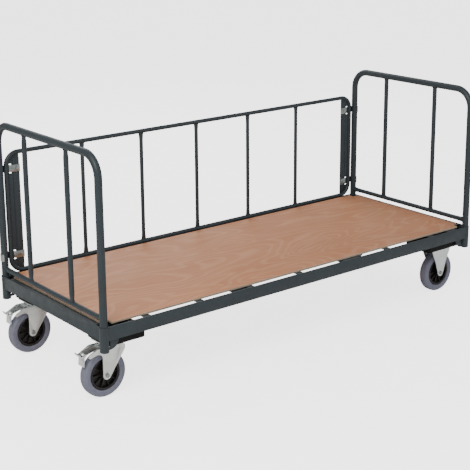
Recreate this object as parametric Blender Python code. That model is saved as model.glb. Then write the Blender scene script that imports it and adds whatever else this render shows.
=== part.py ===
"""Platform trolley with two end panels, one back panel, two braked swivel castors and two fixed castors.

Frame: metres, +Z up, floor at z = 0.  X runs along the deck, -X is the swivel (push) end, and Y runs
from the open front to the back panel.  The origin is the floor centre of the trolley's overall box.
"""

from math import asin, atan2, cos, degrees, pi, radians, sin, sqrt

import bmesh
import bpy
from mathutils import Matrix, Vector

# ---------------------------------------------------------------- driving dimensions
GAP = 0.0003                 # clearance between two pieces that touch

POST_X = 1.077               # end-panel posts: half distance between their axes along X
POST_Y = 0.405               # and along Y
FRAME_X = 1.092              # outer faces of the end rails
FRAME_Y = 0.420              # outer faces of the long rails
FRAME_BOTTOM = 0.284
FRAME_TOP = 0.343
RAIL_WALL = 0.004
RAIL_FLANGE = 0.030
MEMBER_TOP = 0.340           # tops of the cross members and end ledges, under the board

BOARD_THICKNESS = 0.009
BOARD_X = 1.065              # half length
BOARD_FRONT = -0.392
BOARD_REAR = 0.388
BOARD_NOTCH = 0.035

SLEEVE_BOTTOM = 0.235
SLEEVE_RADIUS = 0.0187
SLEEVE_LIP = 0.0198          # outer radius of the rolled lip
SLEEVE_TOP = 0.3433
LIP_HEIGHT = 0.0048
SLEEVE_BORE = 0.0165
SLEEVE_FLOOR = 0.004

POST_RADIUS = 0.016
PANEL_TOP = 1.036            # axis of an end panel's top tube
PANEL_BEND = 0.090
LOWER_TUBE_Z = 0.375
END_ROD_RADIUS = 0.011
END_ROD_Y = 0.169
END_PRESS = (0.65, 1.22)     # how far the pressed end of a rod is thinned and spread
BACK_PRESS = (0.50, 1.45)
PRESSED = 0.036              # length of a pressed end

BACK_Y = 0.411               # plane of the back panel
BACK_X = 1.043               # half distance between its two upright tubes
BACK_TOP = 0.897
BACK_BOTTOM = 0.3525
BACK_BEND = 0.060
BACK_RADIUS = 0.010
BACK_ROD_RADIUS = 0.009
BACK_ROD_PITCH = 0.3264
STRIP_X = 0.979              # inner edge of the strip that fills each end of the back panel
STRIP_HALF = 0.0015          # half thickness of that strip
RIB_WIDTH = 0.031            # raised flat on the strip, which the clamps bear on
RIB_DEPTH = 0.0045
RIB_STOP = 0.015
CLAMP_HEIGHTS = (0.429, 0.825)
CLAMP_HEIGHT = 0.032
CLAMP_WALL = 0.0025
CLAMP_BOLT_X = STRIP_X + 0.0145
CLAMP_BOLT_RADIUS = 0.004
CLAMP_SLOT = (1.0160, 1.0278, 0.022)   # x limits and half height of the hole a clamp passes through

CASTOR_X = 0.980             # swivel axes at -X, fixed axles at +X
CASTOR_Y = 0.304
WHEEL_RADIUS = 0.100
TYRE_WIDTH = 0.046
RIM_RADIUS = 0.0694
TRAIL = 0.047                # axle offset behind a swivel axis
CASTOR_HEIGHT = 0.243        # floor to the top of a castor's mounting plate
PLATE_THICKNESS = 0.004
FORK_INNER = 0.031           # half distance between the fork legs
FORK_WALL = 0.004
PEDAL_PIVOT = (-0.075, 0.2085)   # x from the swivel axis, height

ORIGIN_SHIFT = 0.0241        # from the middle of the frame to the middle of the overall box

CORNERS = [(side, face) for side in (-1, 1) for face in (-1, 1)]
SIDE_NAME = {-1: "left", 1: "right"}
FACE_NAME = {-1: "front", 1: "rear"}


# ---------------------------------------------------------------- materials
def material(name, colour, roughness, metallic=0.0):
    """A Principled material with a linear colour."""
    made = bpy.data.materials.new(name)
    made.use_nodes = True
    shader = made.node_tree.nodes["Principled BSDF"]
    shader.inputs["Base Color"].default_value = (*colour, 1.0)
    shader.inputs["Roughness"].default_value = roughness
    shader.inputs["Metallic"].default_value = metallic
    made.diffuse_color = (*colour, 1.0)
    return made


FINISHES = {
    "steel_paint": ((0.050, 0.078, 0.090), 0.45, 0.0),
    "plywood": ((0.50, 0.28, 0.17), 0.60, 0.0),
    "zinc": ((0.55, 0.60, 0.60), 0.35, 0.9),
    "pad_paint": ((0.010, 0.010, 0.011), 0.50, 0.0),
    "rim_plastic": ((0.008, 0.007, 0.008), 0.45, 0.0),
    "grey_rubber": ((0.21, 0.21, 0.27), 0.70, 0.0),
}


# ---------------------------------------------------------------- shapes
def finish_mesh(bm):
    """Make one closed outward mesh from a bmesh."""
    bmesh.ops.remove_doubles(bm, verts=bm.verts, dist=1e-6)
    bmesh.ops.recalc_face_normals(bm, faces=bm.faces)
    mesh = bpy.data.meshes.new("shape")
    bm.to_mesh(mesh)
    bm.free()
    return mesh


def box(x, y, z):
    """A block between the limits (low, high) given for each axis."""
    bm = bmesh.new()
    bmesh.ops.create_cube(bm, size=1.0)
    for vert in bm.verts:
        for axis, (low, high) in enumerate((x, y, z)):
            vert.co[axis] = high if vert.co[axis] > 0 else low
    return finish_mesh(bm)


def prism(outline, low, high, axis="Z"):
    """An outline of 2-D points, extruded between low and high along Z, or along Y for (x, z) points."""
    def place(point, level):
        return (point[0], point[1], level) if axis == "Z" else (point[0], level, point[1])
    bm = bmesh.new()
    bottom = [bm.verts.new(place(point, low)) for point in outline]
    top = [bm.verts.new(place(point, high)) for point in outline]
    bm.faces.new(bottom)
    bm.faces.new(top)
    for i in range(len(outline)):
        j = (i + 1) % len(outline)
        bm.faces.new((bottom[i], bottom[j], top[j], top[i]))
    return finish_mesh(bm)


def skin(rings, closed=False):
    """A surface through rings of equal length, with end caps unless the rings close on themselves."""
    bm = bmesh.new()
    made = [[bm.verts.new(point) for point in ring] for ring in rings]
    count = len(made[0])
    steps = len(made) if closed else len(made) - 1
    for r in range(steps):
        first, second = made[r], made[(r + 1) % len(made)]
        for i in range(count):
            j = (i + 1) % count
            bm.faces.new((first[i], first[j], second[j], second[i]))
    if not closed:
        bm.faces.new(made[0])
        bm.faces.new(made[-1])
    return finish_mesh(bm)


def turned(profile, sides, axis="Z"):
    """A closed (radius, height) profile turned about Z, or about Y; radius 0 makes a pole."""
    bm = bmesh.new()
    loop = []
    for radius, height in profile:
        co = (radius, 0.0, height) if axis == "Z" else (radius, height, 0.0)
        loop.append(bm.verts.new(co))
    edges = []
    for i in range(len(loop)):
        j = (i + 1) % len(loop)
        if profile[i][0] > 0 or profile[j][0] > 0:
            edges.append(bm.edges.new((loop[i], loop[j])))
    axis_vector = (0, 0, 1) if axis == "Z" else (0, 1, 0)
    bmesh.ops.spin(bm, geom=loop + edges, cent=(0, 0, 0), axis=axis_vector, angle=2 * pi,
                   steps=sides, use_merge=True)
    return finish_mesh(bm)


def cylinder(radius, low, high, sides=24, axis="Z", centre=(0.0, 0.0)):
    """A round bar along Z at (x, y), or along Y at (x, z)."""
    ring = [(centre[0] + radius * cos(2 * pi * (i + 0.5) / sides),
             centre[1] + radius * sin(2 * pi * (i + 0.5) / sides)) for i in range(sides)]
    return prism(ring, low, high, axis)


def arc(centre, radius, start, end, steps):
    """Points on an arc from start to end, in degrees."""
    return [(centre[0] + radius * cos(radians(start + (end - start) * i / steps)),
             centre[1] + radius * sin(radians(start + (end - start) * i / steps)))
            for i in range(steps + 1)]


def tube(path, radius, normal, sides=14, closed=False):
    """A round bar along a path that lies in the plane with the given normal, mitred at each bend."""
    points = [Vector(point) for point in path]
    normal = Vector(normal)
    rings = []
    for i, point in enumerate(points):
        before = points[i - 1] if i > 0 or closed else None
        after = points[(i + 1) % len(points)] if i < len(points) - 1 or closed else None
        into = (point - before).normalized() if before is not None else (after - point).normalized()
        out = (after - point).normalized() if after is not None else into
        tangent = (into + out).normalized()
        across = tangent.cross(normal) / tangent.dot(into)
        rings.append([point + radius * (cos(2 * pi * k / sides) * normal
                                        + sin(2 * pi * k / sides) * across) for k in range(sides)])
    return skin(rings, closed)


def flattened_bar(start, end, radius, wide, squeeze, spread, sides=10):
    """A straight round bar whose two ends are pressed flat over a short length, wide along `wide`."""
    start, end, wide = Vector(start), Vector(end), Vector(wide)
    along = (end - start).normalized()
    thin = along.cross(wide)
    length = (end - start).length
    stations = [0.0, 0.4 * PRESSED, PRESSED]
    amounts = [1.0, 0.8, 0.0]
    stations += [length - s for s in reversed(stations)]
    amounts += list(reversed(amounts))
    rings = []
    for s, amount in zip(stations, amounts):
        a = radius * (1 + (spread - 1) * amount)
        b = radius * (1 + (squeeze - 1) * amount)
        rings.append([start + along * s + wide * (a * cos(2 * pi * k / sides))
                      + thin * (b * sin(2 * pi * k / sides)) for k in range(sides)])
    return skin(rings)


def band(path, thickness, low, high):
    """A flat strap that stands on edge between two heights and follows a path in plan."""
    half = thickness / 2
    left, right = [], []
    for i, (x, y) in enumerate(path):
        px, py = path[max(i - 1, 0)]
        nx, ny = path[min(i + 1, len(path) - 1)]
        length = sqrt((nx - px) ** 2 + (ny - py) ** 2)
        dx, dy = (nx - px) / length, (ny - py) / length
        left.append((x - dy * half, y + dx * half))
        right.append((x + dy * half, y - dx * half))
    return prism(left + list(reversed(right)), low, high)


def hexagon(across_flats, low, high, axis="Z", centre=(0.0, 0.0)):
    """A hexagon head."""
    return cylinder(across_flats / sqrt(3), low, high, 6, axis, centre)


# ---------------------------------------------------------------- building nodes
def clear_scene():
    for old in list(bpy.data.objects):
        bpy.data.objects.remove(old, do_unlink=True)


def empty(name, location, parent=None):
    """A named axis or station that pieces are parented to."""
    made = bpy.data.objects.new(name, None)
    bpy.context.scene.collection.objects.link(made)
    made.location = location
    made.parent = parent
    return made


def combine(base, others, operation):
    """Union or cut a mesh with others by the Boolean modifier, and return the solved mesh."""
    body = bpy.data.objects.new("base", base)
    bpy.context.scene.collection.objects.link(body)
    helpers = []
    for mesh in others:
        helper = bpy.data.objects.new("helper", mesh)
        bpy.context.scene.collection.objects.link(helper)
        modifier = body.modifiers.new("boolean", "BOOLEAN")
        modifier.operation = operation
        modifier.solver = "EXACT"
        modifier.object = helper
        helpers.append(helper)
    graph = bpy.context.evaluated_depsgraph_get()
    solved = bpy.data.meshes.new_from_object(body.evaluated_get(graph))
    for made in [body] + helpers:
        bpy.data.objects.remove(made, do_unlink=True)
    return solved


def union(*meshes):
    return combine(meshes[0], meshes[1:], "UNION")


def cut(mesh, *cutters):
    return combine(mesh, cutters, "DIFFERENCE")


def moved(mesh, x=0.0, y=0.0, z=0.0):
    """A copy of a mesh moved by (x, y, z)."""
    copy = mesh.copy()
    copy.transform(Matrix.Translation((x, y, z)))
    return copy


def mirrored(mesh, side):
    """The mesh itself, or its mirror image in X for side -1."""
    if side > 0:
        return mesh
    bm = bmesh.new()
    bm.from_mesh(mesh)
    bm.transform(Matrix.Diagonal((-1, 1, 1, 1)))
    return finish_mesh(bm)


def node(name, mesh, finish, parent, location=(0, 0, 0), rounded=True):
    """One finished piece: its own object and its own material."""
    mesh.name = name
    colour, roughness, metallic = FINISHES[finish]
    mesh.materials.clear()
    mesh.materials.append(material(name + "_" + finish, colour, roughness, metallic))
    if rounded:
        mesh.shade_smooth()
        mesh.set_sharp_from_angle(angle=radians(35))
    made = bpy.data.objects.new(name, mesh)
    bpy.context.scene.collection.objects.link(made)
    made.location = location
    made.parent = parent
    return made


# ---------------------------------------------------------------- chassis
LUG_WIDTH = 0.034
LUG_X = (-0.870, -0.600, -0.325, -0.040, 0.516, 0.827)
WIDE_LUGS = ((0.279, 0.098), (0.977, 0.066))
LUG_REACH = 0.015            # how far a lug reaches under the board
LUG_WALL = 0.004
LEDGE_WIDTH = 0.023          # ledge for the end of the board, and its thickness
LEDGE_WALL = 0.004
MEMBER_WALL = 0.003
BITE = 0.001                 # overlap of two shapes that are fused into one body
GUSSET_GAP = 0.0005
GUSSET_SLOT = (0.0080, 0.012, 0.006)   # slot beside a sleeve: width, margins below and above it
GUSSET_LENGTH = 0.050
GUSSET_BOTTOM = 0.240
GUSSET_HALF = 0.002          # half thickness
CASTOR_BEAM = 0.060
MEMBER_X = (-0.327, 0.327)
MEMBER_WIDTH = 0.040


def sleeve_room(side, face):
    """Cutters that clear one corner sleeve and its lip."""
    at = (side * POST_X, face * POST_Y)
    lip_low = SLEEVE_TOP - LIP_HEIGHT
    body = cylinder(SLEEVE_RADIUS + GAP, SLEEVE_BOTTOM - 0.02, lip_low, 20)
    lip = cylinder(SLEEVE_LIP + GAP, lip_low - BITE, SLEEVE_TOP + 0.02, 20)
    return [moved(body, *at), moved(lip, *at)]


def gusset(side, face):
    """Upright plate under a rail, in the plane of the posts, with a quarter-round end."""
    radius = FRAME_BOTTOM - GUSSET_BOTTOM
    near = POST_X - SLEEVE_RADIUS - GUSSET_GAP
    far = near - GUSSET_LENGTH
    top = FRAME_BOTTOM + BITE
    outline = [(near, top), (far, top)]
    outline += arc((far + radius, FRAME_BOTTOM), radius, 180, 270, 6)
    outline.append((near, GUSSET_BOTTOM))
    plane = face * POST_Y
    return prism([(side * x, z) for x, z in outline], plane - GUSSET_HALF, plane + GUSSET_HALF, "Y")


def long_rail(face):
    """Front (-1) or rear (1) rail: an L section with board lugs on it and a gusset under each end."""
    outer, inner = face * FRAME_Y, face * (FRAME_Y - RAIL_WALL)
    edge = BOARD_FRONT if face < 0 else BOARD_REAR
    web = box((-POST_X, POST_X), sorted((outer, inner)), (FRAME_BOTTOM, FRAME_TOP))
    flange = box((-POST_X, POST_X), sorted((outer, outer - face * RAIL_FLANGE)),
                 (FRAME_BOTTOM, FRAME_BOTTOM + RAIL_WALL))
    parts = [flange]
    under = sorted((edge - face * LUG_REACH, inner + face * BITE))
    for x, width in [(x, LUG_WIDTH) for x in LUG_X] + list(WIDE_LUGS):
        parts.append(box((x - width / 2, x + width / 2), under, (MEMBER_TOP - LUG_WALL, MEMBER_TOP)))
    cutters = []
    slot_width, slot_low, slot_high = GUSSET_SLOT
    for side in (-1, 1):
        parts.append(gusset(side, face))
        cutters += sleeve_room(side, face)
        beside = POST_X - SLEEVE_RADIUS
        cutters.append(box(sorted((side * (beside + 0.006), side * (beside - slot_width))),
                           (face * POST_Y - 0.01, face * POST_Y + 0.01),
                           (GUSSET_BOTTOM + slot_low, FRAME_BOTTOM - slot_high)))
    return cut(union(web, *parts), *cutters)


def end_rail(side):
    """Left or right rail: an upright web with a ledge for the end of the board."""
    outer, inner = side * FRAME_X, side * (FRAME_X - RAIL_WALL)
    stop = FRAME_Y - RAIL_WALL - GAP
    flange_end = POST_Y - 0.030
    web = box(sorted((outer, inner)), (-stop, stop), (FRAME_BOTTOM, FRAME_TOP))
    flange = box(sorted((outer, outer - side * RAIL_FLANGE)), (-flange_end, flange_end),
                 (FRAME_BOTTOM, FRAME_BOTTOM + RAIL_WALL))
    ledge = box(sorted((inner + side * BITE, side * (BOARD_X + GAP - LEDGE_WIDTH))),
                (BOARD_FRONT + BOARD_NOTCH, BOARD_REAR - BOARD_NOTCH), (MEMBER_TOP - LEDGE_WALL, MEMBER_TOP))
    cutters = []
    for face in (-1, 1):
        cutters += sleeve_room(side, face)
        cutters.append(box(sorted((outer + side * 0.01, inner - side * 0.01)),
                           sorted((face * (POST_Y + 0.002), face * (FRAME_Y + 0.01))),
                           (FRAME_BOTTOM - 0.01, FRAME_TOP + 0.01)))
    return cut(union(web, flange, ledge), *cutters)


def sleeve():
    """Corner socket: a cup that holds the foot of a post, with a rolled lip at the top."""
    floor = SLEEVE_BOTTOM + SLEEVE_FLOOR
    low = SLEEVE_TOP - LIP_HEIGHT
    edge = 0.001
    profile = [(0, SLEEVE_BOTTOM), (SLEEVE_RADIUS - edge, SLEEVE_BOTTOM),
               (SLEEVE_RADIUS, SLEEVE_BOTTOM + edge), (SLEEVE_RADIUS, low - edge / 2),
               (SLEEVE_LIP, low + edge / 2), (SLEEVE_LIP, SLEEVE_TOP - edge), (SLEEVE_LIP - edge, SLEEVE_TOP),
               (SLEEVE_BORE, SLEEVE_TOP), (SLEEVE_BORE, floor), (0, floor)]
    return turned(profile, 20)


def deck_board():
    """Plywood board with a square notch at each corner for the posts."""
    n = BOARD_NOTCH
    outline = []
    for sx, sy in ((-1, -1), (1, -1), (1, 1), (-1, 1)):
        x = sx * BOARD_X
        y = BOARD_FRONT if sy < 0 else BOARD_REAR
        inner = (x - sx * n, y - sy * n)
        turn = [(x, inner[1]), inner, (inner[0], y)]
        outline += turn if sx * sy > 0 else list(reversed(turn))
    low = MEMBER_TOP + GAP
    return prism(outline, low, low + BOARD_THICKNESS)


def cross_member(width):
    """A channel under the board, open downwards, resting on the lower flanges of both long rails."""
    reach = FRAME_Y - RAIL_WALL - GAP
    low = FRAME_BOTTOM + RAIL_WALL + GAP
    hollow = width / 2 - MEMBER_WALL
    outer = box((-width / 2, width / 2), (-reach, reach), (low, MEMBER_TOP))
    inner = box((-hollow, hollow), (-reach - 0.01, reach + 0.01), (low - 0.01, MEMBER_TOP - MEMBER_WALL))
    step = MEMBER_TOP - LUG_WALL - GAP
    ends = []
    for face, edge in ((-1, BOARD_FRONT), (1, BOARD_REAR)):
        start = edge - face * (LUG_REACH + GAP)
        ends.append(box((-width, width), sorted((start, 2 * start)), (step, MEMBER_TOP + 0.01)))
    return cut(outer, inner, *ends)


def make_chassis(parent):
    for face in (-1, 1):
        node(FACE_NAME[face] + "_rail", long_rail(face), "steel_paint", parent)
    for side in (-1, 1):
        node(SIDE_NAME[side] + "_end_rail", end_rail(side), "steel_paint", parent)
        node(SIDE_NAME[side] + "_castor_beam", cross_member(CASTOR_BEAM), "steel_paint", parent,
             (side * CASTOR_X, 0, 0))
    for number, x in enumerate(MEMBER_X, 1):
        node("cross_member_%d" % number, cross_member(MEMBER_WIDTH), "steel_paint", parent, (x, 0, 0))
    for side, face in CORNERS:
        node("corner_sleeve_%s_%s" % (SIDE_NAME[side], FACE_NAME[face]), sleeve(), "steel_paint",
             parent, (side * POST_X, face * POST_Y, 0))
    node("deck_board", deck_board(), "plywood", parent)


# ---------------------------------------------------------------- panels
def end_loop():
    """The bent tube of an end panel: two posts joined by a top tube."""
    foot = SLEEVE_BOTTOM + SLEEVE_FLOOR + GAP
    turn_y, turn_z = POST_Y - PANEL_BEND, PANEL_TOP - PANEL_BEND
    plan = [(-POST_Y, foot)]
    plan += arc((-turn_y, turn_z), PANEL_BEND, 180, 90, 5)
    plan += arc((turn_y, turn_z), PANEL_BEND, 90, 0, 5)
    plan += [(POST_Y, foot)]
    return tube([(0, y, z) for y, z in plan], POST_RADIUS, (1, 0, 0), 16)


def make_end_panel(parent, side):
    label = SIDE_NAME[side] + "_panel_"
    at = (side * POST_X, 0, 0)
    node(label + "frame", end_loop(), "steel_paint", parent, at)
    reach = POST_Y - POST_RADIUS - GAP
    low_bar = flattened_bar((0, -reach, LOWER_TUBE_Z), (0, reach, LOWER_TUBE_Z), END_ROD_RADIUS,
                            (0, 0, 1), *END_PRESS)
    node(label + "lower_bar", low_bar, "steel_paint", parent, at)
    for face in (-1, 1):
        rod = flattened_bar((0, 0, LOWER_TUBE_Z + END_ROD_RADIUS + GAP),
                            (0, 0, PANEL_TOP - POST_RADIUS - GAP), END_ROD_RADIUS, (0, 1, 0), *END_PRESS)
        node(label + "rod_" + FACE_NAME[face], rod, "steel_paint", parent,
             (side * POST_X, face * END_ROD_Y, 0))


def back_loop():
    """The closed bent tube round the back panel."""
    turn_x = BACK_X - BACK_BEND
    low, high = BACK_BOTTOM + BACK_BEND, BACK_TOP - BACK_BEND
    plan = []
    for cx, cz, start in ((turn_x, high, 90), (turn_x, low, 0), (-turn_x, low, -90), (-turn_x, high, -180)):
        plan += arc((cx, cz), BACK_BEND, start, start - 90, 5)
    return tube([(x, 0, z) for x, z in plan], BACK_RADIUS, (0, 1, 0), 10, closed=True)


def end_strip():
    """Folded strip inside an upright of the back panel, with a slot and a bolt hole for each clamp."""
    edge = BACK_X - BACK_RADIUS - GAP
    inner_bend = BACK_BEND - BACK_RADIUS - GAP
    low, high = BACK_BOTTOM + BACK_RADIUS + GAP, BACK_TOP - BACK_RADIUS - GAP
    outline = [(STRIP_X, low)]
    outline += arc((edge - inner_bend, low + inner_bend), inner_bend, -90, 0, 5)
    outline += arc((edge - inner_bend, high - inner_bend), inner_bend, 0, 90, 5)
    outline += [(STRIP_X, high)]
    sheet = prism(outline, -STRIP_HALF, STRIP_HALF, "Y")
    rib = box((STRIP_X, STRIP_X + RIB_WIDTH), (-RIB_DEPTH, -0.001), (low + RIB_STOP, high - RIB_STOP))
    cutters = []
    slot_low, slot_high, slot_half = CLAMP_SLOT
    for z in CLAMP_HEIGHTS:
        cutters.append(box((slot_low, slot_high), (-0.01, 0.01), (z - slot_half, z + slot_half)))
        cutters.append(cylinder(CLAMP_BOLT_RADIUS + GAP, -0.01, 0.01, 12, "Y", (CLAMP_BOLT_X, z)))
    return cut(union(sheet, rib), *cutters)


def clamp():
    """Clamp that ties the back panel to a post: a bolted plate on the strip and a strap behind both tubes."""
    offset = CLAMP_WALL / 2 + 0.0004
    upright, post = Vector((BACK_X, BACK_Y)), Vector((POST_X, POST_Y))
    r1, r2 = BACK_RADIUS + offset, POST_RADIUS + offset
    between = post - upright
    across = 90 + degrees(atan2(between.y, between.x) + asin((r2 - r1) / between.length))
    plate_y = BACK_Y - RIB_DEPTH - GAP - CLAMP_WALL / 2
    bend = Vector((STRIP_X + RIB_WIDTH + 0.0025, plate_y))
    to_upright = upright - bend
    first = 90 + degrees(atan2(to_upright.y, to_upright.x) + asin(r1 / to_upright.length))
    path = [(STRIP_X - 0.002, plate_y), tuple(bend)]
    path += arc(upright, r1, first, across, 3)
    path += arc(post, r2, across, -60, 10)
    half = CLAMP_HEIGHT / 2
    strap = band(path, CLAMP_WALL, -half, half)
    front = plate_y - CLAMP_WALL / 2
    back = BACK_Y + STRIP_HALF + GAP
    at = (CLAMP_BOLT_X, 0.0)
    washer = cylinder(0.0105, front - 0.0016, front + 0.001, 16, "Y", at)
    head = hexagon(0.013, front - 0.0065, front + 0.001, "Y", at)
    shank = cylinder(CLAMP_BOLT_RADIUS, front, back + 0.001, 12, "Y", at)
    nut = hexagon(0.013, back, back + 0.0065, "Y", at)
    return union(strap, washer, head, shank, nut)


def make_back_panel(parent):
    node("back_panel_frame", back_loop(), "steel_paint", parent, (0, BACK_Y, 0))
    for number in range(5):
        rod = flattened_bar((0, 0, BACK_BOTTOM + BACK_RADIUS + GAP), (0, 0, BACK_TOP - BACK_RADIUS - GAP),
                            BACK_ROD_RADIUS, (1, 0, 0), *BACK_PRESS)
        node("back_panel_rod_%d" % (number + 1), rod, "steel_paint", parent,
             ((number - 2) * BACK_ROD_PITCH, BACK_Y, 0))
    for side in (-1, 1):
        node("back_panel_strip_" + SIDE_NAME[side], mirrored(end_strip(), side), "steel_paint", parent,
             (0, BACK_Y, 0))
        for z, level in zip(CLAMP_HEIGHTS, ("lower", "upper")):
            node("clamp_%s_%s" % (SIDE_NAME[side], level), mirrored(clamp(), side), "zinc", parent,
                 (0, 0, z))


# ---------------------------------------------------------------- castors
PLATE_X = 0.070              # half length of a castor's mounting plate
PLATE_Y = 0.055
BOLT_X = 0.0525
BOLT_Y = 0.040
PAD_REACH = {-1: (-0.070, 0.118), 1: (-0.146, 0.081)}   # along X, from the castor axis
PAD_Y = 0.081
PAD_BEND = 0.018
AXLE_RADIUS = 0.006
FORK_FOOT = 0.0185           # radius of the rounded lower end of a fork leg
RACE_RADIUS = 0.038
RACE_TOP = 0.2325
UPPER_RACE_RADIUS = 0.030
UPPER_RACE_DEPTH = 0.006
BRIDGE_LOW = 0.2055
KINGPIN_RADIUS = 0.006
PIVOT_RADIUS = 0.004
SMALL_HEAD = 0.015           # hexagons across their flats: plate bolts, axles, kingpins
AXLE_HEAD = 0.016
KINGPIN_HEAD = 0.019
HEAD_DEPTH = 0.006
PLATE_CORNER = 0.010

# side view of a swivel fork above the axle: front shoulder, top edge, and the arm that carries the pedal
SWIVEL_OUTLINE = [(0.043, 0.198), (0.043, 0.2135), (0.034, 0.2225), (-0.090, 0.2225), (-0.128, 0.2040),
                  (-0.132, 0.1960), (-0.124, 0.1900), (-0.095, 0.1985)]
SWIVEL_NECK = ((-0.0855, 0.1790), 0.020)    # centre and radius of the hollow behind the leg
FIXED_OUTLINE = [(0.0400, 0.1650), (0.0580, 0.2020), (0.0660, 0.2280), (0.0670, 0.2400)]

PEDAL_WALL = 0.0035
PEDAL_HALF = 0.021           # half width of the tread
PEDAL_TREAD = [(0.014, 0.0175), (-0.056, -0.0010), (-0.082, -0.0080), (-0.0885, 0.0035)]
PEDAL_SHOE = [(-0.058, -0.0010), (-0.0690, -0.0160), (-0.0720, -0.0520)]
PEDAL_SLOT = ((-0.0700, -0.0600), 0.011)    # x limits and half width
BOSS_RADIUS = 0.0085
BOSS_HALF = 0.0145


def castor_pad(side):
    """Black spacer box between a castor beam and a castor's plate, with rounded corners."""
    low_x, high_x = PAD_REACH[side]
    r = PAD_BEND
    reach = PAD_Y - r
    outline = arc((high_x - r, reach), r, 0, 90, 4)
    outline += arc((low_x + r, reach), r, 90, 180, 4)
    outline += arc((low_x + r, -reach), r, 180, 270, 4)
    outline += arc((high_x - r, -reach), r, 270, 360, 4)
    return prism(outline, CASTOR_HEIGHT + GAP, FRAME_BOTTOM + RAIL_WALL)


def mounting_plate():
    """Shapes of a castor plate: the plate with cut corners, and its four bolt heads below."""
    low = CASTOR_HEIGHT - PLATE_THICKNESS
    x, y, c = PLATE_X, PLATE_Y, PLATE_CORNER
    outline = [(-x + c, -y), (x - c, -y), (x, -y + c), (x, y - c), (x - c, y), (-x + c, y), (-x, y - c),
               (-x, -y + c)]
    heads = [hexagon(SMALL_HEAD, low - HEAD_DEPTH, low + BITE, "Z", (sx * BOLT_X, sy * BOLT_Y))
             for sx in (-1, 1) for sy in (-1, 1)]
    return [prism(outline, low, CASTOR_HEIGHT)] + heads


def fork_legs(outline):
    """The two legs of a fork, from one side view."""
    return [prism(outline, *sorted((face * FORK_INNER, face * (FORK_INNER + FORK_WALL))), "Y")
            for face in (-1, 1)]


def cross_hole(radius, x, z):
    """Cutter for a hole along Y through both legs."""
    return cylinder(radius + GAP, -0.05, 0.05, 16, "Y", (x, z))


def swivel_plate():
    """Plate of a swivel castor, with the upper bearing race."""
    low = CASTOR_HEIGHT - PLATE_THICKNESS
    return union(*mounting_plate(), cylinder(UPPER_RACE_RADIUS, low - UPPER_RACE_DEPTH, low + BITE, 24))


def swivel_fork():
    """Fork of a swivel castor: race, bridge and two legs that sweep back to the axle and carry an arm."""
    neck, neck_radius = SWIVEL_NECK
    leg = arc((-TRAIL, WHEEL_RADIUS), FORK_FOOT, 180, 340, 8) + SWIVEL_OUTLINE
    leg += arc(neck, neck_radius, 90, 0, 3)
    side = FORK_INNER + FORK_WALL / 2
    bridge = box((-0.048, 0.040), (-side, side), (BRIDGE_LOW, BRIDGE_LOW + FORK_WALL))
    shoulder = RACE_RADIUS + 0.003
    race = turned([(0, BRIDGE_LOW + BITE), (shoulder, BRIDGE_LOW + BITE), (shoulder, 0.2200),
                   (RACE_RADIUS, 0.2240), (RACE_RADIUS - 0.003, RACE_TOP), (0, RACE_TOP)], 20)
    body = union(*fork_legs(leg), bridge, race)
    king_hole = cylinder(KINGPIN_RADIUS + GAP, BRIDGE_LOW - 0.01, RACE_TOP + 0.01, 16)
    return cut(body, cross_hole(PIVOT_RADIUS, *PEDAL_PIVOT), cross_hole(AXLE_RADIUS, -TRAIL, WHEEL_RADIUS),
               king_hole)


def kingpin():
    """Pin that holds the fork to its plate, with a hexagon head under the bridge."""
    head = hexagon(KINGPIN_HEAD, BRIDGE_LOW - 0.0075, BRIDGE_LOW - GAP, "Z")
    top = CASTOR_HEIGHT - PLATE_THICKNESS - UPPER_RACE_DEPTH - GAP
    return union(cylinder(KINGPIN_RADIUS, BRIDGE_LOW - 0.002, top, 16), head)


def fixed_fork():
    """Fork of a fixed castor: mounting plate with two tapering legs."""
    leg = arc((0, WHEEL_RADIUS), FORK_FOOT, 195, 345, 8) + FIXED_OUTLINE
    leg += [(-x, z) for x, z in reversed(FIXED_OUTLINE)]
    return cut(union(*mounting_plate(), *fork_legs(leg)), cross_hole(AXLE_RADIUS, 0, WHEEL_RADIUS))


def wheel_rim():
    """Moulded wheel centre: hub, web and rim, bored for the axle."""
    half = FORK_INNER - 0.0008
    profile = [(AXLE_RADIUS + GAP, -half), (0.021, -half), (0.0225, -0.006), (0.058, -0.006),
               (0.0605, -0.0185), (0.0665, -0.0195), (RIM_RADIUS, -0.0180), (RIM_RADIUS, 0.0180),
               (0.0665, 0.0195), (0.0605, 0.0185), (0.058, 0.006), (0.0225, 0.006), (0.021, half),
               (AXLE_RADIUS + GAP, half)]
    return turned(profile, 24, "Y")


def tyre():
    """Rubber ring with rounded shoulders and a flat bead at the rim."""
    half, inner = TYRE_WIDTH / 2, RIM_RADIUS + 2 * GAP
    crown = [(0.0945, half - 0.0035), (0.0985, half - 0.0095), (WHEEL_RADIUS, half - 0.0155)]
    flank = [(inner, 0.0190), (0.0760, 0.0215), (0.0870, half)]
    side = flank + crown
    profile = side + [(r, -y) for r, y in reversed(side)]
    return turned(profile, 32, "Y")


def axle():
    """Axle bolt with a hexagon head and a nut outside the fork."""
    outer = FORK_INNER + FORK_WALL + GAP
    bar = cylinder(AXLE_RADIUS, -outer - HEAD_DEPTH / 2, outer + HEAD_DEPTH / 2, 16, "Y")
    head = hexagon(AXLE_HEAD, -outer - HEAD_DEPTH, -outer, "Y")
    nut = hexagon(AXLE_HEAD, outer, outer + HEAD_DEPTH, "Y")
    return union(bar, head, nut)


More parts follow.
